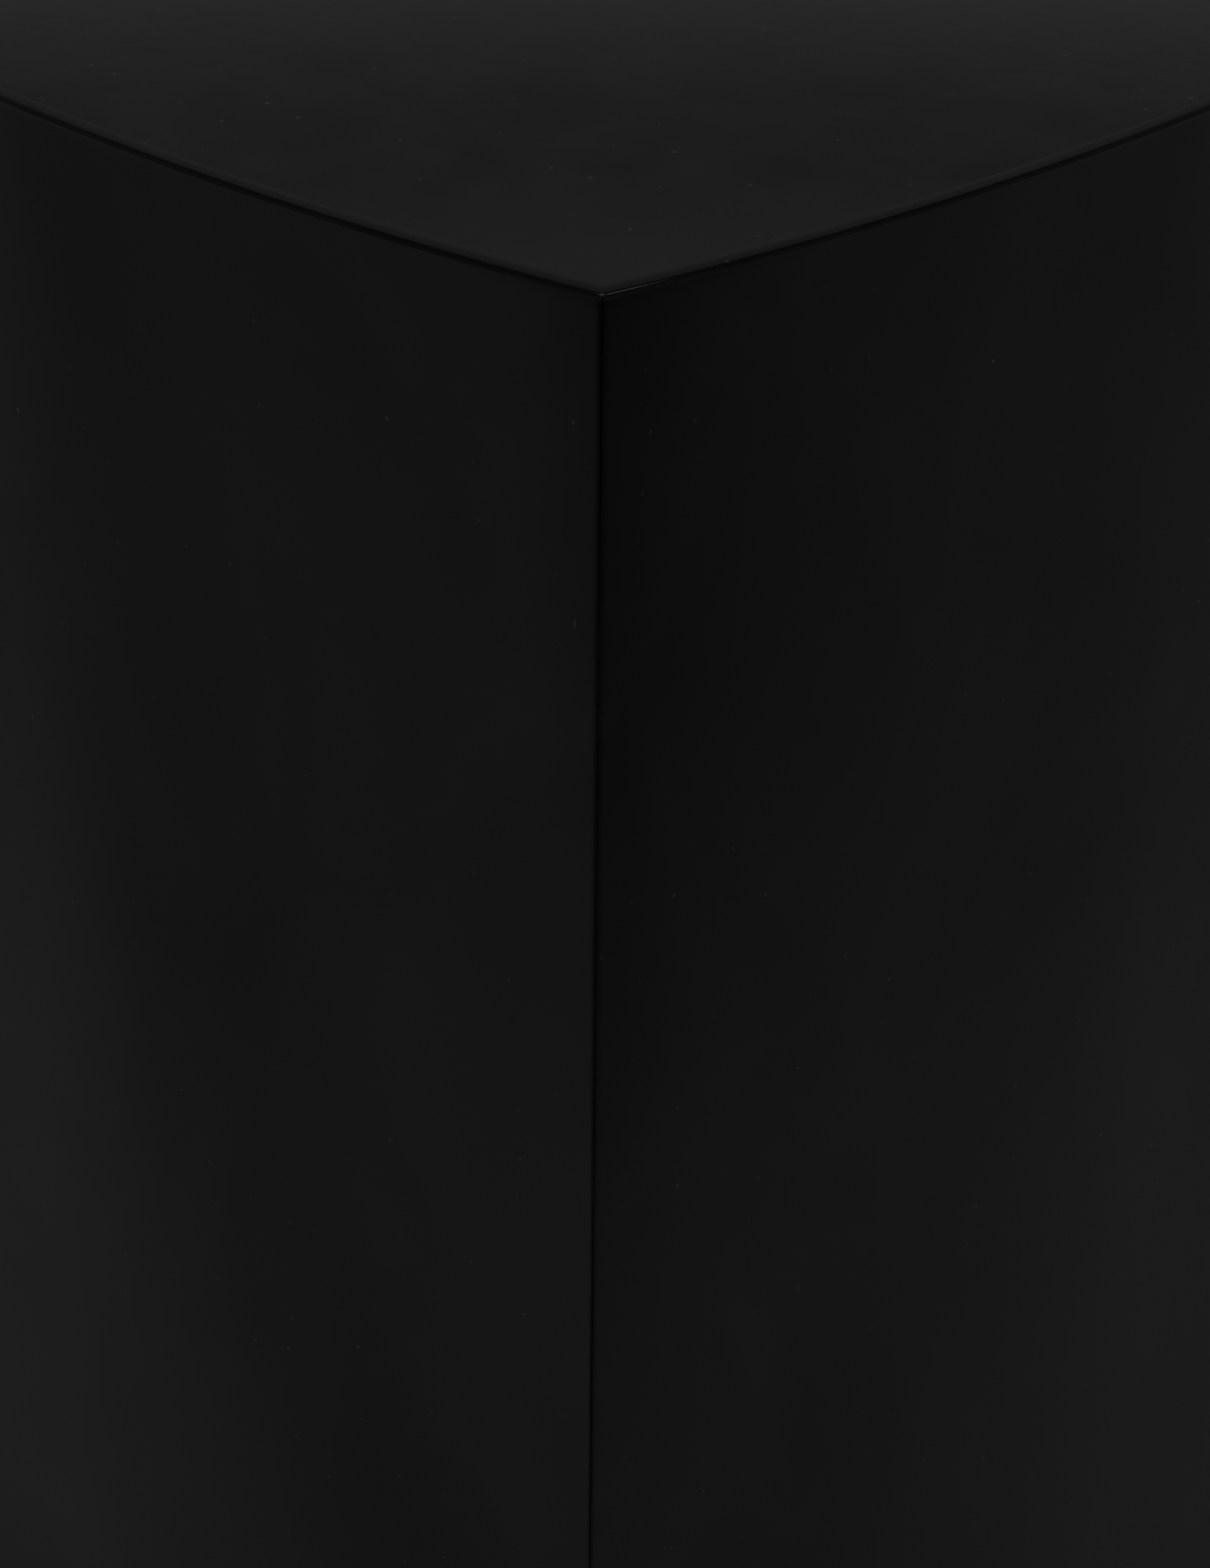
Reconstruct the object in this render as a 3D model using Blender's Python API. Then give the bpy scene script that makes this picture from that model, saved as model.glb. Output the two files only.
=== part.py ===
"""A full-size apple box: a hollow plywood box that a crew stands on, sits on or stacks under lights.

Six panels meet in 45 degree mitres along every arris. The walls are flat in the middle and turn inwards
towards four crisp vertical corners, and each end has a hand hole. Inside are a centre brace, corner posts,
cleats, and loose tongues in the mitres. The top is screwed from inside, the bottom from underneath.

The box stands on its bottom panel with the origin under its centre: X along it, Y across it, Z up.
"""

from math import asin, cos, pi, radians, sin, sqrt

import bmesh
import bpy
from mathutils import Matrix, Vector

# Driving dimensions, in metres
LENGTH = 0.508
WIDTH = 0.305
HEIGHT = 0.203
PLY = 0.015  # thickness of all six panels and of the brace
BOW_RADIUS = 0.310  # of a wall's outer face where it turns in towards a corner
BOW_TURN = radians(14)  # how far it has turned where it meets the corner
GAP = 0.0003  # left between two pieces that meet

GRIP_WIDTH = 0.096  # the hand hole, a slot with round ends
GRIP_HEIGHT = 0.030
GRIP_ROUND = 0.004  # radius of its edges

HOUSING = 0.003  # depth of the grooves that hold the brace
CLEAT = 0.018
POST_LEG = 0.036  # how far a corner post runs along each wall
POST_CLEARANCE = 0.002  # between a post and the end of a cleat
TONGUE_THICK = 0.004
CORNER_TONGUE = (TONGUE_THICK, 0.014, 0.150)
CORNER_TONGUE_DEPTH = 0.0075  # in from the arris to its middle, along each axis
TOP_TONGUE_WIDTH = 0.012
TOP_TONGUE_LENGTHS = (0.300, 0.100)  # in a long wall, in an end
TOP_TONGUE_DEPTH = 0.0095

SCREW_LENGTH = 0.026
SCREW_RADIUS = 0.0021
HEAD_RADIUS = 0.0042
HEAD_RIM = 0.0004
HEAD_DEPTH = 0.0029
TIP_RADIUS = 0.0005
DRIVE_RADIUS = 0.0019
DRIVE_DEPTH = 0.0020
DRIVE_NECK = 0.78  # how far the driver's recess is drawn in between its lobes
HEAD_SUNK = 0.0003  # below the surface it is driven into
SCREW_IN_POST = 0.008  # in from the corner of the hollow, along each axis
SCREW_IN_BRACE = 0.085  # from the middle of the brace
SCREWS_ON_CLEAT = (0.2, 0.8)  # as shares of the cleat's length

BOW_STEPS = 8
ROUND_STEPS = 8
EDGE_STEPS = 3
SCREW_SIDES = 12

SET_BACK = BOW_RADIUS * (1 - cos(BOW_TURN))  # of a corner from the flat of each wall
BOW_RUN = BOW_RADIUS * sin(BOW_TURN)  # length of the curved stretch along the wall
SIDES = ("front", "right", "rear", "left")  # anticlockwise, a quarter turn apart
CORNERS = {"front_left": (-1, -1), "front_right": (1, -1), "rear_right": (1, 1), "rear_left": (-1, 1)}


def halves(side):
    """Half the length of a wall, and how far its flat is from the middle of the box."""
    ends = side in ("left", "right")
    return (WIDTH / 2, LENGTH / 2) if ends else (LENGTH / 2, WIDTH / 2)


def turned_to(side):
    """The rotation that carries a piece drawn on the front wall round to this side."""
    return Matrix.Rotation(SIDES.index(side) * pi / 2, 4, "Z")


def finish(name, colour, roughness, metallic=0.0):
    made = bpy.data.materials.new(name)
    made.use_nodes = True
    shader = made.node_tree.nodes["Principled BSDF"]
    shader.inputs["Base Color"].default_value = (*colour, 1)
    shader.inputs["Roughness"].default_value = roughness
    shader.inputs["Metallic"].default_value = metallic
    return made


def solid_mesh(name, rings):
    """A closed mesh through rings of as many points each, with a flat face over the first and the last."""
    bm = bmesh.new()
    loops = [[bm.verts.new(point) for point in ring] for ring in rings]
    count = len(rings[0])
    for one, other in zip(loops, loops[1:]):
        for i in range(count):
            following = (i + 1) % count
            bm.faces.new((one[i], one[following], other[following], other[i]))
    bm.faces.new(loops[0])
    bm.faces.new(loops[-1])
    bmesh.ops.recalc_face_normals(bm, faces=bm.faces)
    mesh = bpy.data.meshes.new(name)
    bm.to_mesh(mesh)
    bm.free()
    return mesh


def piece(name, mesh, material, placed=Matrix()):
    made = bpy.data.objects.new(name, mesh)
    bpy.context.scene.collection.objects.link(made)
    made.matrix_world = placed
    if material and not mesh.materials:
        mesh.materials.append(material)
    return made


def cut(hosts, mesh, placed=Matrix()):
    """Takes a shape out of some pieces."""
    cutter = piece(f"cutter_{mesh.name}", mesh, None, placed)
    cutter.hide_render = True
    cutter.display_type = "WIRE"
    for host in hosts:
        boolean = host.modifiers.new(cutter.name, "BOOLEAN")
        boolean.object = cutter
        boolean.operation = "DIFFERENCE"
        boolean.solver = "EXACT"


def box_mesh(name, size, grown=0.0):
    x, y, z = (side / 2 + grown for side in size)
    return solid_mesh(name, [[(-x, -y, h), (x, -y, h), (x, y, h), (-x, y, h)] for h in (-z, z)])


# The plan of the box. Every wall is drawn as the front one: along +X, with its outside facing -Y.


def flat_end(half_length):
    """Where along a wall its flat ends and its bow begins."""
    return half_length - SET_BACK - BOW_RUN


def wall_distance(along, side, inset):
    """How far a surface inside a wall's face is from the middle of the box, at a place along the wall."""
    half_length, half_depth = halves(side)
    past_flat = max(abs(along) - flat_end(half_length), 0)
    return half_depth - BOW_RADIUS + sqrt((BOW_RADIUS - inset) ** 2 - past_flat**2)


def bow_reach(inset, gap):
    """How far past the flat a surface meets the diagonal through the corner, or a line short of it."""
    radius = BOW_RADIUS - inset
    offset = BOW_RADIUS - SET_BACK - BOW_RUN + gap * sqrt(2)
    return (sqrt(2 * radius**2 - offset**2) - offset) / 2


def stations(side, inset, gap=0.0):
    """Places along a wall from one mitre to the other: close together on its bows, none between them."""
    radius = BOW_RADIUS - inset
    most = asin(bow_reach(inset, gap) / radius)
    flat = flat_end(halves(side)[0])
    right = [flat + radius * sin(most * step / BOW_STEPS) for step in range(BOW_STEPS + 1)]
    return [-along for along in reversed(right)] + right


def outline(inset):
    """The plan of the box at some distance inside its faces, anticlockwise."""
    points = []
    for side in SIDES:
        for along in stations(side, inset)[:-1]:
            point = Vector((along, -wall_distance(along, side, inset), 0))
            points.append(turned_to(side) @ point)
    return points


def inner_corner():
    """The front right corner of the hollow, from the middle of the box."""
    reach = bow_reach(PLY + GAP, 0)
    across = flat_end(WIDTH / 2) + reach
    return flat_end(LENGTH / 2) + reach, across


# Panels

LIP = GAP / 2 * sqrt(2)  # how far a mitre is drawn back, measured along a panel's face


def lid_mesh(name, outer_height, inner_height):
    """A top or bottom panel: a slab whose edge slopes in at 45 degrees all round."""
    levels = ((LIP, outer_height), (PLY + LIP, inner_height))
    return solid_mesh(name, [[(p.x, p.y, height) for p in outline(inset)] for inset, height in levels])


def wall_mesh(name, side):
    """A wall with mitres at both ends and along its top and bottom."""
    sections = []
    for outer, inner in zip(stations(side, 0, GAP / 2), stations(side, PLY, GAP / 2)):
        face, back = -wall_distance(outer, side, 0), -wall_distance(inner, side, PLY)
        sections.append(
            [
                (outer, face, LIP),
                (outer, face, HEIGHT - LIP),
                (inner, back, HEIGHT - PLY - LIP),
                (inner, back, PLY + LIP),
            ]
        )
    return solid_mesh(name, sections)


def slot(half_width, half_height):
    """A slot with round ends, as points (across, up)."""
    middle = half_width - half_height
    points = []
    for centre, start in ((middle, -pi / 2), (-middle, pi / 2)):
        for step in range(ROUND_STEPS + 1):
            angle = start + pi * step / ROUND_STEPS
            points.append((centre + half_height * cos(angle), half_height * sin(angle)))
    return points


def grip_mesh():
    """The hand hole as a solid: a slot that flares by a quarter circle at both faces of the end wall."""
    flare = []
    for step in range(EDGE_STEPS + 1):
        angle = pi / 2 * (1 - step / EDGE_STEPS)
        flare.append((GRIP_ROUND * (1 - sin(angle)), GRIP_ROUND * (1 - cos(angle))))
    outside = [(-GRIP_ROUND, GRIP_ROUND)] + flare
    through = outside + [(PLY - depth, wider) for depth, wider in reversed(outside)]
    rings = []
    for depth, wider in through:
        rim = slot(GRIP_WIDTH / 2 + wider, GRIP_HEIGHT / 2 + wider)
        rings.append([(across, depth, up) for across, up in rim])
    return solid_mesh("grip", rings)


def make_panels(lacquer):
    panels = {
        "top": piece("top_panel", lid_mesh("top_panel", HEIGHT, HEIGHT - PLY), lacquer),
        "bottom": piece("bottom_panel", lid_mesh("bottom_panel", 0, PLY), lacquer),
    }
    for side in SIDES:
        name = f"{side}_end" if side in ("left", "right") else f"{side}_wall"
        panels[side] = piece(name, wall_mesh(name, side), lacquer, turned_to(side))
    hole = grip_mesh()
    for side in ("left", "right"):
        at_face = Matrix.Translation((0, -LENGTH / 2, HEIGHT / 2))
        cut([panels[side]], hole, turned_to(side) @ at_face)
    return panels


# Joinery


def make_brace(panels, plywood):
    """The upright board across the middle, let into the long walls, the top and the bottom."""
    size = (PLY, WIDTH - 2 * PLY + 2 * HOUSING, HEIGHT - 2 * PLY + 2 * HOUSING)
    middle = Matrix.Translation((0, 0, HEIGHT / 2))
    housed_in = [panels[name] for name in ("front", "rear", "top", "bottom")]
    cut(housed_in, box_mesh("housing", size, GAP), middle)
    return piece("centre_brace", box_mesh("centre_brace", size), plywood, middle)


def make_corner_tongues(panels, plywood):
    """A loose tongue across each upright mitre."""
    mesh = box_mesh("corner_tongue", CORNER_TONGUE)
    groove = box_mesh("corner_groove", CORNER_TONGUE, GAP)
    x = LENGTH / 2 - SET_BACK - CORNER_TONGUE_DEPTH
    y = WIDTH / 2 - SET_BACK - CORNER_TONGUE_DEPTH
    for name, (right, back) in CORNERS.items():
        place = Matrix.Translation((right * x, back * y, HEIGHT / 2))
        place @= Matrix.Rotation(right * back * pi / 4, 4, "Z")
        beside = [panels["right" if right > 0 else "left"], panels["rear" if back > 0 else "front"]]
        cut(beside, groove, place)
        piece(f"corner_tongue_{name}", mesh, plywood, place)


def make_top_tongues(panels, plywood):
    """A loose tongue across the mitre between the top and each wall, on its flat stretch."""
    for side in SIDES:
        length = TOP_TONGUE_LENGTHS[side in ("left", "right")]
        size = (length, TOP_TONGUE_WIDTH, TONGUE_THICK)
        middle = (0, TOP_TONGUE_DEPTH - halves(side)[1], HEIGHT - TOP_TONGUE_DEPTH)
        place = turned_to(side) @ Matrix.Translation(middle) @ Matrix.Rotation(pi / 4, 4, "X")
        cut([panels[side], panels["top"]], box_mesh(f"top_groove_{side}", size, GAP), place)
        piece(f"top_tongue_{side}", box_mesh(f"top_tongue_{side}", size), plywood, place)


def make_posts(softwood):
    """An upright glue block in each corner, with its two faces shaped to the walls."""
    corner_x, corner_y = inner_corner()
    inset = PLY + GAP
    plan = []
    for step in (3, 2, 1, 0):
        along = corner_x - POST_LEG * step / 3
        plan.append((along, -wall_distance(along, "front", inset)))
    for step in (1, 2, 3):
        along = corner_y - POST_LEG * step / 3
        plan.append((wall_distance(along, "right", inset), -along))
    heights = (PLY + GAP, HEIGHT - PLY - GAP)
    posts = {}
    for name, (right, back) in CORNERS.items():
        rings = [[(right * x, -back * y, height) for x, y in plan] for height in heights]
        posts[name] = piece(f"corner_post_{name}", solid_mesh(f"corner_post_{name}", rings), softwood)
    return posts


def cleat_mesh(name, side, start, end, low):
    """A strip along a wall's inner face, from one place to another."""
    flat = flat_end(halves(side)[0])
    places = {start, end} | {along for along in (-flat, flat) if start < along < end}
    if end > flat:
        places.add((flat + end) / 2)
    if start < -flat:
        places.add((start - flat) / 2)
    sections = []
    for along in sorted(places):
        outer = -wall_distance(along, side, PLY + GAP)
        inner = -wall_distance(along, side, PLY + GAP + CLEAT)
        square = ((outer, low), (outer, low + CLEAT), (inner, low + CLEAT), (inner, low))
        sections.append([(along, across, height) for across, height in square])
    return solid_mesh(name, sections)


def make_cleats(softwood):
    """Strips under the top and over the bottom: two on each long wall and one on each end."""
    corner_x, corner_y = inner_corner()
    clear = POST_LEG + POST_CLEARANCE
    beside_brace = PLY / 2 + GAP
    runs = {
        "front_left": ("front", clear - corner_x, -beside_brace),
        "front_right": ("front", beside_brace, corner_x - clear),
        "rear_right": ("rear", clear - corner_x, -beside_brace),
        "rear_left": ("rear", beside_brace, corner_x - clear),
        "right": ("right", clear - corner_y, corner_y - clear),
        "left": ("left", clear - corner_y, corner_y - clear),
    }
    lows = {"top": HEIGHT - PLY - GAP - CLEAT, "bottom": PLY + GAP}
    cleats = {}
    for level, low in lows.items():
        for place, (side, start, end) in runs.items():
            name = f"{level}_cleat_{place}"
            mesh = cleat_mesh(name, side, start, end, low)
            cleats[level, place] = (piece(name, mesh, softwood, turned_to(side)), side, start, end)
    return cleats


# Screws


def screw_rings(levels, lobed=0):
    """Rings round Z from (height, radius). The first few are drawn in at every other point, for a driver."""
    rings = []
    for index, (height, radius) in enumerate(levels):
        ring = []
        for side in range(SCREW_SIDES):
            r = radius * (DRIVE_NECK if index < lobed and side % 2 else 1)
            angle = 2 * pi * side / SCREW_SIDES
            ring.append((r * cos(angle), r * sin(angle), height))
        rings.append(ring)
    return rings


def screw_meshes():
    """A countersunk screw with its head at the origin, pointing down, and the hole it is driven into."""
    body = [
        (-HEAD_RIM, HEAD_RADIUS),
        (-HEAD_DEPTH, SCREW_RADIUS),
        (3 * SCREW_RADIUS - SCREW_LENGTH, SCREW_RADIUS),
        (-SCREW_LENGTH, TIP_RADIUS),
    ]
    drive = [(-DRIVE_DEPTH, DRIVE_RADIUS), (0, DRIVE_RADIUS)]
    screw = solid_mesh("screw", screw_rings(drive + [(0, HEAD_RADIUS)] + body, lobed=2))
    hole = [(2 * HEAD_SUNK, HEAD_RADIUS + GAP)] + [(height, radius + GAP) for height, radius in body]
    hole[-1] = (-SCREW_LENGTH - GAP, TIP_RADIUS + GAP)
    return screw, solid_mesh("screw_hole", screw_rings(hole))


def make_screws(panels, brace, posts, cleats, steel):
    screw, hole = screw_meshes()
    driven_up = Matrix.Rotation(pi, 4, "X")

    def drive(name, x, y, height, hosts):
        place = Matrix.Translation((x, y, height + HEAD_SUNK)) @ driven_up
        cut(hosts, hole, place)
        piece(name, screw, steel, place)

    def on_cleat(side, along):
        middle = wall_distance(along, side, PLY + GAP + CLEAT / 2)
        return (turned_to(side) @ Vector((along, -middle, 0))).xy

    # Through the bottom panel: into the posts, the brace and the middle of each cleat
    spots = []
    corner_x, corner_y = inner_corner()
    for corner, (right, back) in CORNERS.items():
        x, y = corner_x - SCREW_IN_POST, corner_y - SCREW_IN_POST
        spots.append((right * x, back * y, posts[corner]))
    for y in (-SCREW_IN_BRACE, SCREW_IN_BRACE):
        spots.append((0, y, brace))
    for (level, _), (cleat, side, start, end) in cleats.items():
        if level == "bottom":
            spots.append((*on_cleat(side, (start + end) / 2), cleat))
    for number, (x, y, host) in enumerate(spots, 1):
        drive(f"bottom_screw_{number:02d}", x, y, 0, [panels["bottom"], host])

    # Up through the top cleats into the top panel, two in each
    number = 0
    for (level, _), (cleat, side, start, end) in cleats.items():
        if level != "top":
            continue
        for share in SCREWS_ON_CLEAT:
            number += 1
            x, y = on_cleat(side, start + share * (end - start))
            drive(f"top_screw_{number:02d}", x, y, HEIGHT - PLY - GAP - CLEAT, [cleat, panels["top"]])


def main():
    for old in list(bpy.data.objects):
        bpy.data.objects.remove(old)
    lacquer = finish("black_lacquer", (0.006, 0.006, 0.0065), 0.12)
    plywood = finish("bare_plywood", (0.58, 0.42, 0.25), 0.6)
    softwood = finish("bare_softwood", (0.66, 0.47, 0.27), 0.65)
    steel = finish("black_screw_steel", (0.03, 0.03, 0.032), 0.4, 0.9)

    panels = make_panels(lacquer)
    brace = make_brace(panels, plywood)
    make_corner_tongues(panels, plywood)
    make_top_tongues(panels, plywood)
    posts = make_posts(softwood)
    cleats = make_cleats(softwood)
    make_screws(panels, brace, posts, cleats, steel)


main()
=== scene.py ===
"""The looks of the apple box: black piano lacquer outside, bare wood inside, on a plain pale studio floor.

The six boards are built again here with finely rounded arrises, soft polished shoulders and hairline mitres.
The wooden pieces inside keep their CAD shapes, and the screws get round heads and a lobed drive.
Everything is in metres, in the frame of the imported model.
"""

from math import asin, cos, pi, radians, sin, sqrt, tan

import bmesh
import bpy
from mathutils import Matrix, Vector


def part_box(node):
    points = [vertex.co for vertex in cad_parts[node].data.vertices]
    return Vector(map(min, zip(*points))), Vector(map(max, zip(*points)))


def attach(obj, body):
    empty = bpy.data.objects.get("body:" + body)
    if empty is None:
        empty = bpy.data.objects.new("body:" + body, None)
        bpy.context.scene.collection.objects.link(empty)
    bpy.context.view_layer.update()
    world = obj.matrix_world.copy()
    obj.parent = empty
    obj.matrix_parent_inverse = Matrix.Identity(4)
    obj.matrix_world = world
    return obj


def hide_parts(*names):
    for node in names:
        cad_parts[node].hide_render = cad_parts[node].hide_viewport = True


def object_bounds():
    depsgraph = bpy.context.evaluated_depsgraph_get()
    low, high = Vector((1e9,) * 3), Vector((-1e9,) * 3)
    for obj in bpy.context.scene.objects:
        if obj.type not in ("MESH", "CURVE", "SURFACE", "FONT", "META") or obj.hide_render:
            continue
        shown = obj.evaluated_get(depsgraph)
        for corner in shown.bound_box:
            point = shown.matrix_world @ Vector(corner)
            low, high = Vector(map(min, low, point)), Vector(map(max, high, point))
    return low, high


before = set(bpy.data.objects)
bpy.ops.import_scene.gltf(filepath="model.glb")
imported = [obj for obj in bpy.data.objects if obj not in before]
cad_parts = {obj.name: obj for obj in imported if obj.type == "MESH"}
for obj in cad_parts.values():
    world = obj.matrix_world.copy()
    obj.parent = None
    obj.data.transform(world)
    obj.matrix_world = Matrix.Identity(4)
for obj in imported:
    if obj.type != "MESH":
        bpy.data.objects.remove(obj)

CAD_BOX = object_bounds()
LENGTH, WIDTH, HEIGHT = CAD_BOX[1] - CAD_BOX[0]
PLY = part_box("top_panel")[1].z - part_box("top_panel")[0].z
GAP = 0.0003  # between two pieces that meet inside the box

# The plan: each wall is flat in the middle and turns in on a wide arc towards its corners
BOW_RADIUS = 0.310
BOW_TURN = radians(14)
SET_BACK = BOW_RADIUS * (1 - cos(BOW_TURN))
BOW_RUN = BOW_RADIUS * sin(BOW_TURN)
BOW_STEPS = 28

# The rounding of the arrises.
# A shoulder is how far it turns, its radius, and the flat between it and the arris.
ARRIS_STEPS = 6
SHOULDER_STEPS = 6
LID_SHOULDER = (radians(9), 0.0062, 0.0003)  # on the top and the bottom
WALL_SHOULDER = (radians(3), 0.018, 0)  # on a wall, along its top and bottom
UPRIGHT_SHOULDER = (radians(2), 0.012, 0)  # on a wall, beside its corners
ARRIS_RADIUS = 0.00055
UPRIGHT_RADIUS = 0.00045
SEAM = 0.00008  # the open hairline left in a lacquered mitre
UPRIGHT_SEAM = 0.00018  # the same in the four upright mitres, where it is wider
GUARDS = (0.0005, 0.0015)  # rings just inside a lid's shoulder, which keep its broad face flat

# The hand holes
GRIP_WIDTH = 0.096
GRIP_HEIGHT = 0.030
GRIP_ROUND = 0.004
GRIP_STEPS = 28
GRIP_EDGE_STEPS = 9

# The screws
SCREW_SIDES = 48
SCREW_LENGTH = 0.026
SCREW_RADIUS = 0.0021
HEAD_RADIUS = 0.0042
HEAD_RIM = 0.0004
HEAD_DEPTH = 0.0029
DRIVE_RADIUS = 0.0019
DRIVE_DEPTH = 0.0020
DRIVE_TAPER = 0.9  # the drive's radius at its bottom, as a share of that above
DRIVE_LOBES = 0.24  # how far it is drawn in between its lobes, as a share of its radius
CHAMFER_LOBES = 0.20
SCREW_BEVEL = 0.0003
TIP_RADIUS = 0.0005
HOLE_RISE = 0.0006  # how far a screw's hole is cut past the face

# From what angle between two faces the edge is drawn as sharp
BOARD_SHARP = radians(32)
SCREW_SHARP = radians(35)

LACQUERED, BARE = 0, 1  # the material slots of a board

SIDES = ("front", "right", "rear", "left")
CORNERS = ("front_right", "rear_right", "rear_left", "front_left")  # each at the far end of its side
PANEL_NODES = {"front": "front_wall", "right": "right_end", "rear": "rear_wall", "left": "left_end"}


# The plan of the box. Every wall is drawn as the front one, along +X with its outside facing -Y.


def halves(side):
    """Half the length of a wall, and how far its flat is from the middle of the box."""
    return (WIDTH / 2, LENGTH / 2) if side in ("left", "right") else (LENGTH / 2, WIDTH / 2)


def turned_to(side):
    return Matrix.Rotation(SIDES.index(side) * pi / 2, 4, "Z")


def corner_angle(inset):
    """How far the bow has turned where two walls' surfaces meet, at some distance inside their faces."""
    radius = BOW_RADIUS - inset
    offset = BOW_RADIUS - SET_BACK - BOW_RUN
    return asin((sqrt(2 * radius**2 - offset**2) - offset) / 2 / radius)


def bow_point(side, angle, inset):
    """A point (along, out) on the right-hand bow of a wall."""
    half_length, half_depth = halves(side)
    flat_end = half_length - SET_BACK - BOW_RUN
    radius = BOW_RADIUS - inset
    return flat_end + radius * sin(angle), half_depth - BOW_RADIUS + radius * cos(angle)


def roll(shoulder, radius, turn):
    """How a surface rolls over into an arris: (how far along, how deep) while it turns from 0 to an angle."""
    shoulder_turn, shoulder_radius, flat = shoulder
    points = []
    for step in range(SHOULDER_STEPS + 1):
        angle = shoulder_turn * step / SHOULDER_STEPS
        points.append((shoulder_radius * sin(angle), shoulder_radius * (1 - cos(angle))))
    along, deep = points[-1]
    if flat:
        along += flat * cos(shoulder_turn)
        deep += flat * sin(shoulder_turn)
        points.append((along, deep))
    for step in range(1, ARRIS_STEPS + 1):
        angle = shoulder_turn + (turn - shoulder_turn) * step / ARRIS_STEPS
        further = radius * (sin(angle) - sin(shoulder_turn))
        deeper = radius * (cos(shoulder_turn) - cos(angle))
        points.append((along + further, deep + deeper))
    return points


def upright_stations():
    """(distance from the mitre, extra depth) beside an upright arris, from the mitre to the flat."""
    half_turn = pi / 4 - BOW_TURN
    points = roll(UPRIGHT_SHOULDER, UPRIGHT_RADIUS, half_turn)
    end_along, end_deep = points[-1]
    start = end_along + end_deep * tan(half_turn)
    return [(start - along, deep) for along, deep in reversed(points)]


STATIONS = upright_stations()


def wall_points(side, inset, seam=0.0, sharp=False):
    """The plan of a surface at an inset, from its left mitre to its right one, as (along, out).

    It stops short of each mitre by half the seam. A sharp one is the inside of a board, with no arris.
    """
    corner = corner_angle(inset)
    radius = BOW_RADIUS - inset
    moved = seam / 2 - (STATIONS[0][0] if sharp else 0)
    right = []
    for from_mitre, deep in STATIONS:
        angle = corner - (from_mitre + moved) / radius
        right.append(bow_point(side, angle, inset if sharp else inset + deep))
    last = corner - (STATIONS[-1][0] + moved) / radius
    for step in range(1, BOW_STEPS + 1):
        right.append(bow_point(side, last * (1 - step / BOW_STEPS), inset))
    right.reverse()
    return [(-along, out) for along, out in reversed(right)] + right


def outline(inset, sharp=False):
    """The plan of the whole box at an inset, anticlockwise. Each corner is one point."""
    points = []
    for side in SIDES:
        for along, out in wall_points(side, inset, sharp=sharp)[1:]:
            points.append(turned_to(side) @ Vector((along, -out, 0)))
    return points


# Meshes


def solid_mesh(name, rings, bare_sections=(), bare_caps=()):
    """A closed mesh through rings of points. The sections and caps named as bare get the second material."""
    bm = bmesh.new()
    loops = [[bm.verts.new(point) for point in ring] for ring in rings]
    count = len(rings[0])
    for one, other in zip(loops, loops[1:]):
        for i in range(count):
            following = (i + 1) % count
            made = bm.faces.new((one[i], one[following], other[following], other[i]))
            made.material_index = BARE if i in bare_sections else LACQUERED
    for index in (0, -1):
        made = bm.faces.new(loops[index])
        made.material_index = BARE if index in bare_caps else LACQUERED
    bmesh.ops.recalc_face_normals(bm, faces=bm.faces)
    mesh = bpy.data.meshes.new(name)
    bm.to_mesh(mesh)
    bm.free()
    return mesh


def placed_object(name, mesh, place=Matrix()):
    made = bpy.data.objects.new(name, mesh)
    bpy.context.scene.collection.objects.link(made)
    made.matrix_world = place
    return made


def lid_rolls():
    """The rolls of a lid and of a wall towards the arris between them, and where each begins."""
    lid = roll(LID_SHOULDER, ARRIS_RADIUS, pi / 4)
    wall = roll(WALL_SHOULDER, ARRIS_RADIUS, pi / 4)
    lid_start = lid[-1][0] + wall[-1][1]
    wall_start = wall[-1][0] + lid[-1][1]
    return lid, wall, lid_start, wall_start


def lid_mesh(name, outside, inwards):
    """The top or the bottom board. Outside is its face's height, and inwards is 1 for up or -1 for down."""
    lid, _, lid_start, _ = lid_rolls()
    edge = [(PLY + SEAM / 2, PLY, True), (lid_start - lid[-1][0] + SEAM / 2, lid[-1][1], False)]
    edge += [(lid_start - along, deep, False) for along, deep in reversed(lid[:-1])]
    edge += [(lid_start + further, 0, False) for further in GUARDS]
    rings = []
    for inset, deep, sharp in edge:
        rings.append([(p.x, p.y, outside + inwards * deep) for p in outline(inset, sharp)])
    return solid_mesh(name, rings, bare_caps=(0,))


def wall_mesh(name, side):
    """A wall, as cross-sections from its left mitre to its right one."""
    _, wall, _, wall_start = lid_rolls()
    profile = [(deep, wall_start - along) for along, deep in reversed(wall)]
    profile[0] = (profile[0][0], profile[0][1] + SEAM / 2)
    top = [(inset, HEIGHT - down) for inset, down in profile]
    bottom = [(inset, down) for inset, down in reversed(profile)]
    corners = [(PLY, PLY + SEAM / 2), (PLY, HEIGHT - PLY - SEAM / 2)]
    lines = []
    for inset, height in top + bottom:
        lines.append([(along, -out, height) for along, out in wall_points(side, inset, UPRIGHT_SEAM)])
    for inset, height in corners:
        lines.append([(along, -out, height) for along, out in wall_points(side, inset, UPRIGHT_SEAM, True)])
    sections = [list(section) for section in zip(*lines)]
    return solid_mesh(name, sections, bare_sections=(len(lines) - 2,))


def grip_outline(half_width, half_height):
    """A slot with round ends, as (across, up)."""
    middle = half_width - half_height
    points = []
    for centre, start in ((middle, -pi / 2), (-middle, pi / 2)):
        for step in range(GRIP_STEPS + 1):
            angle = start + pi * step / GRIP_STEPS
            points.append((centre + half_height * cos(angle), half_height * sin(angle)))
    return points


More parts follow.
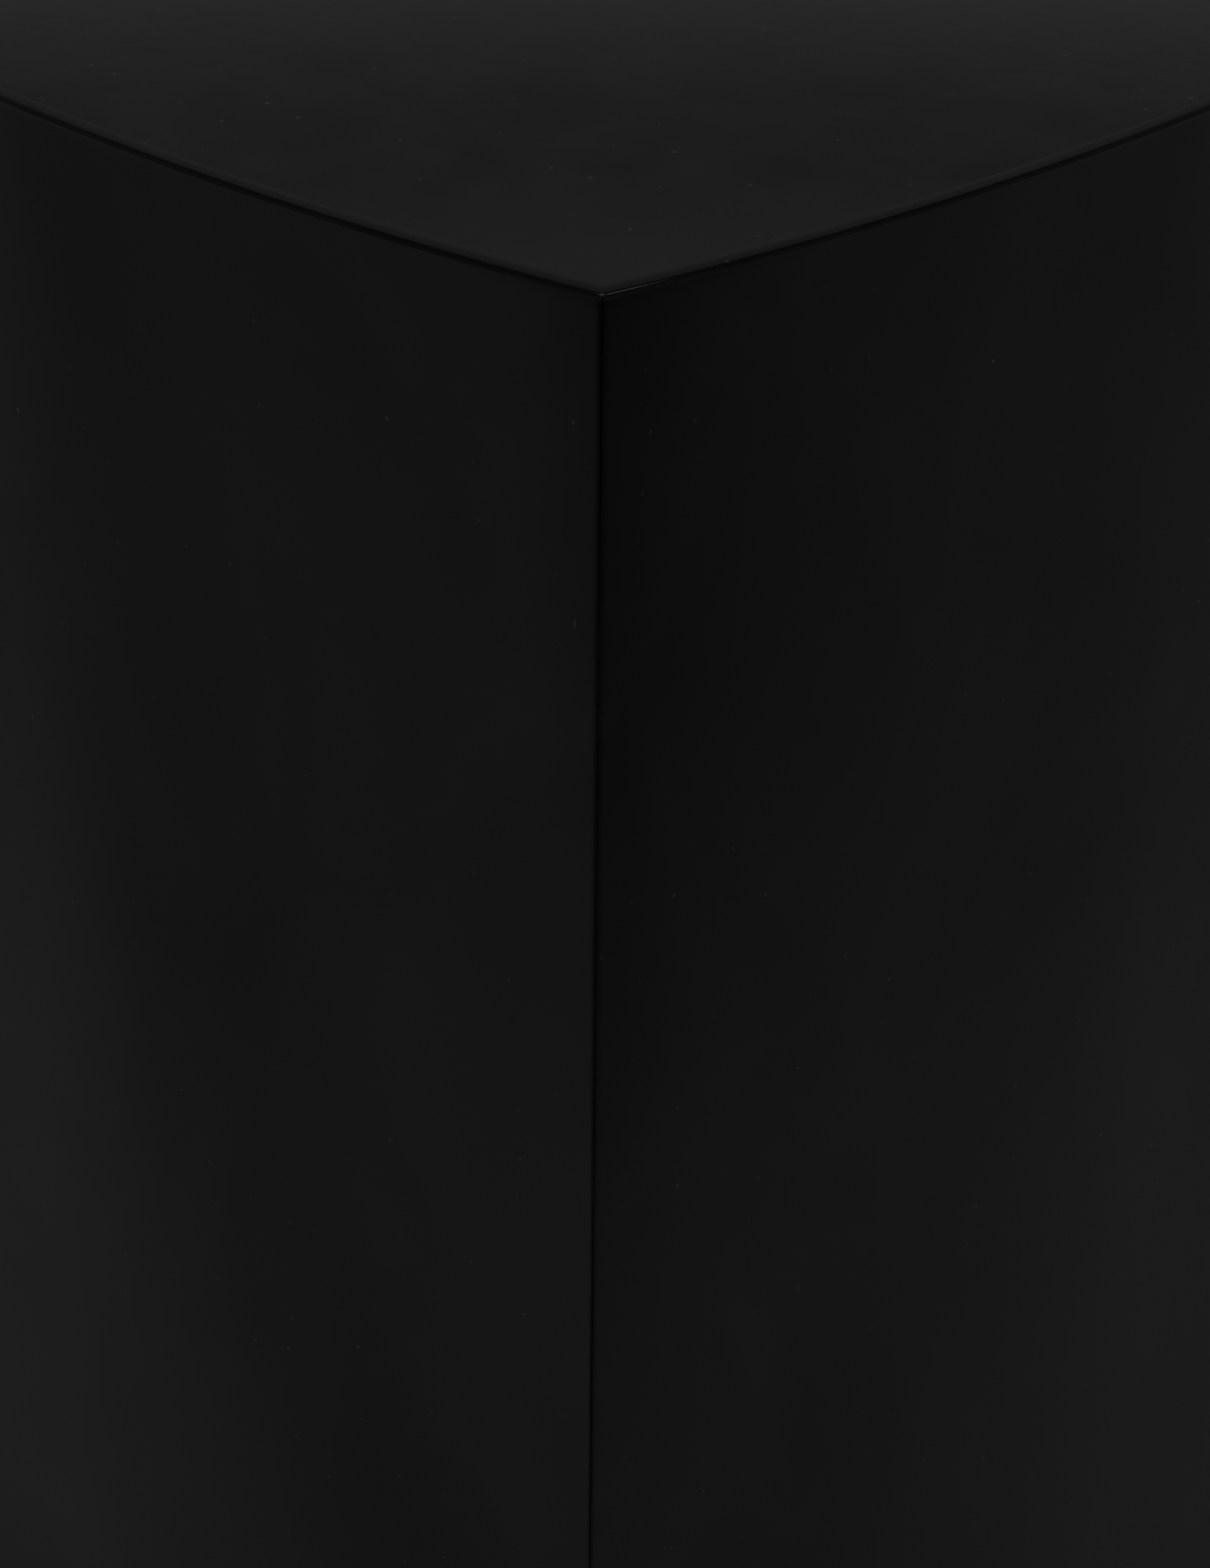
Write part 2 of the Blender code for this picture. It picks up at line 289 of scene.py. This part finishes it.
def grip_mesh():
    """A hand hole as a solid that flares by a quarter circle at both faces of the end wall."""
    flare = []
    for step in range(GRIP_EDGE_STEPS + 1):
        angle = pi / 2 * (1 - step / GRIP_EDGE_STEPS)
        flare.append((GRIP_ROUND * (1 - sin(angle)), GRIP_ROUND * (1 - cos(angle))))
    outside = [(-GRIP_ROUND, GRIP_ROUND)] + flare
    through = outside + [(PLY - depth, wider) for depth, wider in reversed(outside)]
    rings = []
    for depth, wider in through:
        rim = grip_outline(GRIP_WIDTH / 2 + wider, GRIP_HEIGHT / 2 + wider)
        rings.append([(across, depth, up) for across, up in rim])
    return solid_mesh("grip", rings)


def grown(node):
    """The shape of a CAD node, larger by the gap all round."""
    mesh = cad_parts[node].data.copy()
    bm = bmesh.new()
    bm.from_mesh(mesh)
    bmesh.ops.remove_doubles(bm, verts=bm.verts, dist=1e-6)
    bmesh.ops.dissolve_limit(bm, angle_limit=radians(1), verts=bm.verts, edges=bm.edges)
    moves = []
    for vert in bm.verts:
        directions = []
        for face in vert.link_faces:
            if all(face.normal.dot(other) < 0.99 for other in directions):
                directions.append(face.normal.copy())
        moves.append(sum(directions, Vector()) * GAP)
    for vert, move in zip(bm.verts, moves):
        vert.co += move
    bm.to_mesh(mesh)
    bm.free()
    return mesh


def ring(radius, height, lobes=0.0):
    """A ring of a screw, drawn in between its six lobes where lobes is above 0."""
    points = []
    for side in range(SCREW_SIDES):
        angle = 2 * pi * side / SCREW_SIDES
        r = radius * (1 - lobes * (0.5 - 0.5 * cos(6 * angle)))
        points.append((r * cos(angle), r * sin(angle), height))
    return points


def shank(grown_by=0.0):
    """(height, radius) down a screw from under the rim of its head."""
    return [
        (-HEAD_RIM, HEAD_RADIUS + grown_by),
        (-HEAD_DEPTH, SCREW_RADIUS + grown_by),
        (3 * SCREW_RADIUS - SCREW_LENGTH, SCREW_RADIUS + grown_by),
        (-SCREW_LENGTH - grown_by, TIP_RADIUS + grown_by),
    ]


def screw_mesh():
    rings = [
        ring(DRIVE_RADIUS * DRIVE_TAPER, -DRIVE_DEPTH, DRIVE_LOBES),
        ring(DRIVE_RADIUS, -SCREW_BEVEL, DRIVE_LOBES),
        ring(DRIVE_RADIUS + SCREW_BEVEL, 0, CHAMFER_LOBES),
        ring(HEAD_RADIUS - SCREW_BEVEL, 0),
        ring(HEAD_RADIUS, -SCREW_BEVEL),
    ]
    rings += [ring(radius, height) for height, radius in shank()]
    mesh = solid_mesh("screw", rings)
    mesh.shade_smooth()
    mesh.set_sharp_from_angle(angle=SCREW_SHARP)
    return mesh


def screw_hole_mesh():
    levels = [(HOLE_RISE, HEAD_RADIUS + GAP)] + shank(GAP)
    return solid_mesh("screw_hole", [ring(radius, height) for height, radius in levels])


# Boards


def settle(obj):
    """Replaces an object's mesh by what its modifiers make of it."""
    graph = bpy.context.evaluated_depsgraph_get()
    mesh = bpy.data.meshes.new_from_object(obj.evaluated_get(graph))
    obj.modifiers.clear()
    obj.data = mesh


def cut(host, shape, place, slot):
    """Takes one closed shape out of a board. The cut faces get the material of a slot."""
    mesh = shape.copy()
    mesh.transform(place)
    mesh.materials.clear()
    for material in host.data.materials:
        mesh.materials.append(material)
    for face in mesh.polygons:
        face.material_index = slot
    cutter = placed_object("cutter", mesh)
    boolean = host.modifiers.new("cut", "BOOLEAN")
    boolean.object = cutter
    boolean.solver = "MANIFOLD"
    settle(host)
    bpy.data.objects.remove(cutter)


def polish(obj):
    """Smooth shading in which the broad faces stay flat and the narrow ones carry the curve."""
    obj.data.shade_smooth()
    obj.data.set_sharp_from_angle(angle=BOARD_SHARP)
    weighted = obj.modifiers.new("weighted_normals", "WEIGHTED_NORMAL")
    weighted.mode = "FACE_AREA"
    weighted.weight = 100
    weighted.keep_sharp = True


def screw_places():
    """Each screw's node, with the place of its head. They all point up, with the head at the bottom."""
    places = {}
    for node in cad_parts:
        if "_screw_" in node:
            low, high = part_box(node)
            middle = (low + high) / 2
            at = Matrix.Translation((middle.x, middle.y, low.z))
            places[node] = at @ Matrix.Rotation(pi, 4, "X")
    return places


def make_board(node, mesh, kind, finishes, joints):
    """A board lacquered on its outside, with the joints cut into its bare inside."""
    mesh.materials.append(finishes[f"lacquer_{kind}"])
    mesh.materials.append(finishes[f"plywood_{kind}"])
    board = placed_object(f"{node}_finished", mesh)
    for shape, place in joints:
        cut(board, shape, place, BARE)
    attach(board, "root")
    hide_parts(node)
    return board


def make_boards(finishes):
    hole = screw_hole_mesh()
    grip = grip_mesh()

    def grooves(*nodes):
        return [(grown(node), Matrix()) for node in nodes]

    def holes(kind):
        return [(hole, place) for node, place in screw_places().items() if node.startswith(kind)]

    under_top = grooves("centre_brace", *[f"top_tongue_{side}" for side in SIDES]) + holes("top")
    over_bottom = grooves("centre_brace") + holes("bottom")
    boards = [
        make_board("top_panel", lid_mesh("top_panel", HEIGHT, -1), "lid", finishes, under_top),
        make_board("bottom_panel", lid_mesh("bottom_panel", 0, 1), "lid", finishes, over_bottom),
    ]
    for index, side in enumerate(SIDES):
        node = PANEL_NODES[side]
        mesh = wall_mesh(node, side)
        mesh.transform(turned_to(side))
        joints = grooves(f"top_tongue_{side}", *[f"corner_tongue_{CORNERS[index - i]}" for i in (0, 1)])
        if side in ("left", "right"):
            board = make_board(node, mesh, "end", finishes, joints)
            at_face = Matrix.Translation((0, -LENGTH / 2, HEIGHT / 2))
            cut(board, grip, turned_to(side) @ at_face, LACQUERED)
        else:
            board = make_board(node, mesh, "wall", finishes, joints + grooves("centre_brace"))
        boards.append(board)
    for board in boards:
        polish(board)


def make_screws(finishes):
    mesh = screw_mesh()
    mesh.materials.append(finishes["screw"])
    for node, place in screw_places().items():
        screw = placed_object(f"{node}_finished", mesh, place)
        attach(screw, "root")
        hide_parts(node)


def finish_inner_wood(finishes):
    """The wooden pieces that keep their CAD shapes: the brace, the tongues, the posts and the cleats."""
    for node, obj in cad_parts.items():
        low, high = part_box(node)
        sides = high - low
        axis = "XYZ"[max(range(3), key=lambda i: sides[i])]
        if node == "centre_brace":
            wood = finishes["plywood_end"]
        elif "tongue" in node:
            wood = finishes[f"plywood_tongue_{axis}"]
        elif "post" in node or "cleat" in node:
            wood = finishes[f"pine_{axis}"]
        else:
            continue
        obj.data.materials.clear()
        obj.data.materials.append(wood)


# Materials

# The lacquer: its own grey, how much that varies on a lid and on a wall, its roughness and its index
BLACK = 0.0026
LID_HAZE = 0.0005
WALL_HAZE = 0.0013
LACQUER_ROUGHNESS = (0.07, 0.12)
LACQUER_IOR = 1.25  # lower than real lacquer's, fitted to how little the box in the photo mirrors

# How high the surface stands: long waves, orange peel and dust
WAVE_HEIGHT = 0.00003
PEEL_HEIGHT = 0.0000035
NIB_HEIGHT = 0.00003

# What lies on the lacquer: (spacing, size of the largest, share of the places that hold one)
DUST = (0.0050, 0.00030, 0.45)
LINT = (0.022, 0.00034, 0.30)
DUST_COVER = 0.09  # how much of the black the strongest speck hides

BIRCH_DARK = (0.50, 0.33, 0.18, 1)
BIRCH_PALE = (0.66, 0.48, 0.29, 1)
BIRCH_PORE = (0.30, 0.18, 0.09, 1)
PINE_DARK = (0.62, 0.43, 0.23, 1)
PINE_PALE = (0.70, 0.52, 0.31, 1)
PINE_LATE = (0.42, 0.22, 0.09, 1)
OXIDE = (0.035, 0.035, 0.038, 1)
RUBBED_STEEL = (0.22, 0.21, 0.20, 1)
FLOOR_GREYS = (0.78, 0.82)


class Graph:
    """A material's node tree, with its Principled shader already in it."""

    def __init__(self, name):
        self.material = bpy.data.materials.new(name)
        self.material.use_nodes = True
        self.tree = self.material.node_tree
        self.shader = self.tree.nodes["Principled BSDF"]
        self.place = self.node("ShaderNodeTexCoord").outputs["Object"]

    def node(self, kind, **settings):
        made = self.tree.nodes.new(kind)
        for name, value in settings.items():
            setattr(made, name, value)
        return made

    def feed(self, socket, value):
        """Links an output to a socket, or sets the socket to a number or colour."""
        if isinstance(value, bpy.types.NodeSocket):
            self.tree.links.new(value, socket)
        else:
            socket.default_value = value

    def principled(self, socket, value):
        """Feeds one of the Principled shader's own sockets."""
        self.feed(self.shader.inputs[socket], value)

    def math(self, operation, a, b=0.0, clamp=False):
        made = self.node("ShaderNodeMath", operation=operation, use_clamp=clamp)
        self.feed(made.inputs[0], a)
        self.feed(made.inputs[1], b)
        return made.outputs[0]

    def span(self, value, low, high, to_low=0.0, to_high=1.0, smooth=False):
        made = self.node("ShaderNodeMapRange")
        made.interpolation_type = "SMOOTHSTEP" if smooth else "LINEAR"
        for socket, number in zip(("From Min", "From Max", "To Min", "To Max"), (low, high, to_low, to_high)):
            self.feed(made.inputs[socket], number)
        self.feed(made.inputs["Value"], value)
        return made.outputs["Result"]

    def scaled(self, place, scale):
        made = self.node("ShaderNodeMapping")
        self.feed(made.inputs["Vector"], place)
        made.inputs["Scale"].default_value = scale
        return made.outputs["Vector"]

    def flat(self, place, axes):
        """Only two of a place's coordinates, as a place on a plane."""
        split = self.node("ShaderNodeSeparateXYZ")
        self.feed(split.inputs[0], place)
        join = self.node("ShaderNodeCombineXYZ")
        for index, axis in enumerate(axes):
            self.feed(join.inputs[index], split.outputs[axis])
        return join.outputs[0]

    def noise(self, place, scale, detail=2.0, roughness=0.5, distortion=0.0):
        made = self.node("ShaderNodeTexNoise")
        self.feed(made.inputs["Vector"], place)
        made.inputs["Scale"].default_value = scale
        made.inputs["Detail"].default_value = detail
        made.inputs["Roughness"].default_value = roughness
        made.inputs["Distortion"].default_value = distortion
        return made.outputs["Fac"]

    def cells(self, place, scale, feature="F1"):
        made = self.node("ShaderNodeTexVoronoi", feature=feature, voronoi_dimensions="2D")
        self.feed(made.inputs["Vector"], place)
        made.inputs["Scale"].default_value = scale
        return made

    def mix(self, share, a, b):
        made = self.node("ShaderNodeMix", data_type="RGBA")
        self.feed(made.inputs["Factor"], share)
        self.feed(made.inputs[6], a)
        self.feed(made.inputs[7], b)
        return made.outputs[2]

    def bump(self, height, distance, below=None):
        made = self.node("ShaderNodeBump")
        made.inputs["Strength"].default_value = 1.0
        made.inputs["Distance"].default_value = distance
        self.feed(made.inputs["Height"], height)
        if below:
            self.feed(made.inputs["Normal"], below)
        return made.outputs["Normal"]


def grey(level):
    return (level, level, level, 1)


def specks(graph, place, spacing, size, share):
    """Round specks scattered over a plane: how strongly each point is covered, from 0 to 1."""
    cells = graph.cells(place, 1 / spacing)
    chosen = graph.node("ShaderNodeSeparateColor")
    graph.feed(chosen.inputs[0], cells.outputs["Color"])
    there = graph.math("LESS_THAN", chosen.outputs[0], share)
    radius = graph.span(chosen.outputs[1], 0, 1, 0.4 * size / spacing, size / spacing)
    ratio = graph.math("DIVIDE", cells.outputs["Distance"], radius)
    spot = graph.span(ratio, 0.0, 1.0, 1.0, 0.0, smooth=True)
    strength = graph.span(graph.math("POWER", chosen.outputs[2], 4), 0, 1, 0.12, 1.0)
    return graph.math("MULTIPLY", graph.math("MULTIPLY", spot, there), strength)


def lacquer(name, axes, haze):
    """Deep black piano lacquer with a trace of orange peel, cloudy polish and a little dust.

    The axes are the two that its face lies along, and the haze is how much its blackness varies.
    """
    graph = Graph(name)
    place = graph.place
    surface = graph.flat(place, axes)
    clouds = graph.noise(graph.scaled(place, (1, 1, 0.6)), 55, detail=4, roughness=0.6, distortion=0.8)
    dust = specks(graph, surface, *DUST)
    lint = specks(graph, graph.scaled(surface, (1, 0.35, 1)), *LINT)
    covered = graph.math("MAXIMUM", dust, lint, clamp=True)
    black = graph.mix(graph.span(clouds, 0.35, 0.65), grey(BLACK - haze), grey(BLACK + haze))
    graph.principled("Base Color", graph.mix(graph.math("MULTIPLY", covered, DUST_COVER), black, grey(0.5)))
    marks = graph.span(graph.noise(place, 90, detail=4, roughness=0.6), 0.3, 0.75, *LACQUER_ROUGHNESS)
    graph.principled("Roughness", graph.math("ADD", marks, graph.math("MULTIPLY", covered, 0.5)))
    graph.principled("IOR", LACQUER_IOR)
    waves = graph.bump(graph.noise(place, 22, detail=1), WAVE_HEIGHT)
    peel = graph.bump(graph.noise(place, 380, detail=1), PEEL_HEIGHT, waves)
    graph.principled("Normal", graph.bump(covered, NIB_HEIGHT, peel))
    return graph.material


def plywood(name, grain):
    """Bare birch plywood: fine short grain and soft figure along one axis."""
    graph = Graph(name)
    stretch = tuple(0.06 if axis == grain else 1 for axis in "XYZ")
    along = graph.scaled(graph.place, stretch)
    figure = graph.noise(along, 60, detail=4, roughness=0.6, distortion=0.6)
    fibres = graph.noise(along, 900, detail=3, roughness=0.7)
    tone = graph.mix(graph.span(figure, 0.3, 0.7), BIRCH_DARK, BIRCH_PALE)
    pores = graph.span(fibres, 0.62, 0.78, 0, 0.45)
    graph.principled("Base Color", graph.mix(pores, tone, BIRCH_PORE))
    graph.principled("Roughness", graph.span(fibres, 0.2, 0.8, 0.52, 0.72))
    graph.principled("Normal", graph.bump(fibres, 0.00008))
    return graph.material


def pine(name, grain):
    """Bare planed pine: growth rings cut into long stripes, with fine fibres."""
    graph = Graph(name)
    stretch = tuple(0.05 if axis == grain else 1 for axis in "XYZ")
    along = graph.scaled(graph.place, stretch)
    bend = graph.noise(along, 30, detail=2)
    rings = graph.node("ShaderNodeTexWave", wave_type="RINGS", rings_direction=grain)
    graph.feed(rings.inputs["Vector"], along)
    rings.inputs["Scale"].default_value = 55
    rings.inputs["Distortion"].default_value = 3
    rings.inputs["Detail"].default_value = 2
    fibres = graph.noise(along, 1100, detail=2, roughness=0.7)
    late = graph.span(rings.outputs["Fac"], 0.45, 0.95, 0, 1, smooth=True)
    pale = graph.mix(graph.span(bend, 0.35, 0.65), PINE_DARK, PINE_PALE)
    graph.principled("Base Color", graph.mix(graph.math("MULTIPLY", late, 0.6), pale, PINE_LATE))
    graph.principled("Roughness", graph.span(fibres, 0.2, 0.8, 0.5, 0.7))
    graph.principled("Normal", graph.bump(fibres, 0.00006))
    return graph.material


def screw_steel():
    """Black oxide on steel, a little rubbed."""
    graph = Graph("black_oxide_steel")
    wear = graph.noise(graph.place, 900, detail=4, roughness=0.65)
    rubbed = graph.span(wear, 0.55, 0.75, 0, 0.5)
    graph.principled("Base Color", graph.mix(rubbed, OXIDE, RUBBED_STEEL))
    graph.principled("Roughness", graph.span(wear, 0.3, 0.7, 0.45, 0.3))
    graph.principled("Metallic", 0.9)
    graph.principled("Normal", graph.bump(wear, 0.00002))
    return graph.material


def make_finishes():
    finishes = {
        "lacquer_lid": lacquer("lacquer_lid", "XY", LID_HAZE),
        "lacquer_wall": lacquer("lacquer_wall", "XZ", WALL_HAZE),
        "lacquer_end": lacquer("lacquer_end", "YZ", WALL_HAZE),
        "plywood_lid": plywood("plywood_lid", "X"),
        "plywood_wall": plywood("plywood_wall", "X"),
        "plywood_end": plywood("plywood_end", "Y"),
        "screw": screw_steel(),
    }
    for axis in "XYZ":
        finishes[f"plywood_tongue_{axis}"] = plywood(f"plywood_tongue_{axis}", axis)
        finishes[f"pine_{axis}"] = pine(f"pine_{axis}", axis)
    return finishes


# The studio

CORNER = Vector((LENGTH / 2 - SET_BACK, SET_BACK - WIDTH / 2, HEIGHT))  # the front right one of the top

CAMERA_PITCH = radians(30.66)  # looking down
CAMERA_YAW = radians(44.76)  # from the front towards the right end
CAMERA_ROLL = radians(0.62)
CAMERA_LENS = 100  # mm, on a 36 mm frame
CAMERA_DEPTH = 0.3787  # from that corner, along the view
CAMERA_OFFSET = (-0.00023, 0.04255)  # of the corner from the middle of the view, across and up

# How light the studio is, from level with the floor (0) to straight up (1)
SKY = (
    (0.0, 0.08),
    (0.20, 0.16),
    (0.335, 0.25),
    (0.364, 0.117),
    (0.386, 0.090),
    (0.402, 0.185),
    (0.66, 0.165),
    (0.73, 0.06),
    (1.0, 0.04),
)

# The painted shade that the lacquer mirrors, a black sheet that only reflections see: (degrees round from
# straight ahead, density)
PAINTED_SHADE_AT = (0.275, -0.143, 0.001)
PAINTED_SHADE_END = (0.60, 0.85)  # where it begins to fade out, and where it has gone
PAINTED_SHADE_AHEAD = ((-73, 0), (-57, 1), (54, 1), (78.5, 0))
PAINTED_SHADE_ASIDE = (
    (-135, 0.05),
    (-116, 0.27),
    (-100, 0.42),
    (-84, 0.15),
    (-70, 0),
    (62, 0.3),
    (90, 0.32),
    (106, 0.46),
    (125, 0.42),
)

# How much of that density holds near the middle of the painted shade sheet and far from it: (metres away,
# share)
AHEAD_REACH = ((0, 0.3), (0.45, 0.9))
ASIDE_REACH = ((0.05, 0.6), (0.25, 1))

FLOOR_RADIUS = 14
OVERHEAD_AT = (0, -0.2, 5.0)
OVERHEAD_SIDE = 4.0
OVERHEAD_POWER = 98

# Two small lights: a strip for the glint along an arris, and one for the bright spot at the corner
GLINT_DISTANCE = 1.5
STRIP_TOWARDS = (0.317, 0.415, 0.853)
STRIP_ALONG = (-0.943, 0.230, 0.239)
STRIP_SIZE = (0.37, 0.062)
STRIP_POWER = 0.5
SPARK_AZIMUTH = radians(13)
SPARK_ELEVATION = radians(70)
SPARK_SIZE = (0.06, 0.06)
SPARK_POWER = 1.3


def direction(azimuth, elevation):
    return Vector((cos(azimuth) * cos(elevation), sin(azimuth) * cos(elevation), sin(elevation)))


def make_camera():
    back = direction(CAMERA_YAW - pi / 2, CAMERA_PITCH)
    level = Vector((cos(CAMERA_YAW), sin(CAMERA_YAW), 0))
    upright = back.cross(level)
    across = level * cos(CAMERA_ROLL) + upright * sin(CAMERA_ROLL)
    up = upright * cos(CAMERA_ROLL) - level * sin(CAMERA_ROLL)
    data = bpy.data.cameras.new("camera")
    data.lens = CAMERA_LENS
    data.sensor_width = 36
    data.clip_start = 0.01
    camera = bpy.data.objects.new("camera", data)
    bpy.context.scene.collection.objects.link(camera)
    at = CORNER + back * CAMERA_DEPTH - across * CAMERA_OFFSET[0] - up * CAMERA_OFFSET[1]
    turn = Matrix((across, up, back)).transposed().to_4x4()
    camera.matrix_world = Matrix.Translation(at) @ turn
    bpy.context.scene.camera = camera


def make_light(name, at, aim, size, power):
    data = bpy.data.lights.new(name, "AREA")
    data.shape = "RECTANGLE"
    data.size, data.size_y = size
    data.energy = power
    light = bpy.data.objects.new(name, data)
    bpy.context.scene.collection.objects.link(light)
    light.location = at
    light.rotation_euler = (Vector(aim) - Vector(at)).to_track_quat("-Z", "Y").to_euler()
    light.visible_camera = False
    return light


def fill_ramp(ramp, stops, low, high):
    """Sets a grey colour ramp from (place, level) stops, where places run from low to high."""
    ramp.interpolation = "EASE"
    for index, (place, level) in enumerate(stops):
        position = (place - low) / (high - low)
        stop = ramp.elements[index] if index < 2 else ramp.elements.new(position)
        stop.position = position
        stop.color = grey(level)


def turn_light(light, back, side):
    """Turns a light so that it shines against one direction, with its length along another."""
    up = back.cross(side).normalized()
    across = up.cross(back)
    turn = Matrix((across, up, back)).transposed().to_4x4()
    light.matrix_world = Matrix.Translation(light.location) @ turn


def make_world():
    """A dim grey studio, lightest in a band about 20 degrees up."""
    world = bpy.data.worlds.new("studio")
    world.use_nodes = True
    bpy.context.scene.world = world
    tree = world.node_tree
    coordinates = tree.nodes.new("ShaderNodeTexCoord")
    split = tree.nodes.new("ShaderNodeSeparateXYZ")
    ramp = tree.nodes.new("ShaderNodeValToRGB")
    fill_ramp(ramp.color_ramp, SKY, 0, 1)
    tree.links.new(coordinates.outputs["Generated"], split.inputs[0])
    tree.links.new(split.outputs["Z"], ramp.inputs[0])
    tree.links.new(ramp.outputs[0], tree.nodes["Background"].inputs["Color"])


def make_floor():
    bm = bmesh.new()
    bmesh.ops.create_circle(bm, cap_ends=True, segments=64, radius=FLOOR_RADIUS)
    mesh = bpy.data.meshes.new("floor")
    bm.to_mesh(mesh)
    bm.free()
    floor = placed_object("floor", mesh)
    graph = Graph("pale_floor")
    tone = graph.noise(graph.place, 3, detail=3)
    graph.principled("Base Color", graph.mix(tone, grey(FLOOR_GREYS[0]), grey(FLOOR_GREYS[1])))
    graph.principled("Roughness", 0.7)
    mesh.materials.append(graph.material)


def make_painted_shade_sheet():
    """A black sheet just over the floor round the front right corner: painted shade. Only the lacquer mirrors
    it.

    It is densest straight in front of the corner, and thinner beside it. Its own X axis points away from
    the box.
    """
    bm = bmesh.new()
    bmesh.ops.create_circle(bm, cap_ends=True, segments=48, radius=PAINTED_SHADE_END[1])
    mesh = bpy.data.meshes.new("painted_shade_sheet")
    bm.to_mesh(mesh)
    bm.free()
    place = Matrix.Translation(PAINTED_SHADE_AT) @ Matrix.Rotation(-pi / 4, 4, "Z")
    painted_shade_sheet = placed_object("painted_shade_sheet", mesh, place)
    painted_shade_sheet.visible_camera = False
    painted_shade_sheet.visible_diffuse = False
    painted_shade_sheet.visible_shadow = False
    # painted shade: a black material that darkens only the lacquer's reflections
    graph = Graph("painted_reflection_shade")
    split = graph.node("ShaderNodeSeparateXYZ")
    graph.feed(split.inputs[0], graph.place)
    reach = graph.node("ShaderNodeVectorMath", operation="LENGTH")
    graph.feed(reach.inputs[0], graph.place)
    away = reach.outputs["Value"]
    round_share = graph.span(graph.math("ARCTAN2", split.outputs[1], split.outputs[0]), -pi, pi)

    def density(stops, near, far):
        ramp = graph.node("ShaderNodeValToRGB")
        fill_ramp(ramp.color_ramp, stops, -180, 180)
        graph.feed(ramp.inputs[0], round_share)
        return graph.math("MULTIPLY", ramp.outputs[0], graph.span(away, near[0], far[0], near[1], far[1]))

    ahead = graph.math("SUBTRACT", 1, density(PAINTED_SHADE_AHEAD, *AHEAD_REACH))
    aside = graph.math("SUBTRACT", 1, density(PAINTED_SHADE_ASIDE, *ASIDE_REACH))
    solid = graph.math("SUBTRACT", 1, graph.math("MULTIPLY", ahead, aside))
    graph.principled("Base Color", grey(0))
    graph.principled("Roughness", 1)
    graph.principled("Specular IOR Level", 0)
    graph.principled("Alpha", graph.math("MULTIPLY", solid, graph.span(away, *PAINTED_SHADE_END, 1, 0)))
    mesh.materials.append(graph.material)


def make_studio():
    make_floor()
    make_painted_shade_sheet()
    make_world()
    under = (OVERHEAD_AT[0], OVERHEAD_AT[1], 0)
    make_light("overhead", OVERHEAD_AT, under, (OVERHEAD_SIDE, OVERHEAD_SIDE), OVERHEAD_POWER)
    towards = Vector(STRIP_TOWARDS).normalized()
    strip = make_light("glint_strip", CORNER + GLINT_DISTANCE * towards, CORNER, STRIP_SIZE, STRIP_POWER)
    turn_light(strip, towards, Vector(STRIP_ALONG))
    spark = direction(SPARK_AZIMUTH, SPARK_ELEVATION)
    make_light("spark", CORNER + GLINT_DISTANCE * spark, CORNER, SPARK_SIZE, SPARK_POWER)
    bpy.context.scene.view_settings.view_transform = "Standard"


def main():
    make_camera()
    finishes = make_finishes()
    make_boards(finishes)
    make_screws(finishes)
    finish_inner_wood(finishes)
    make_studio()


main()
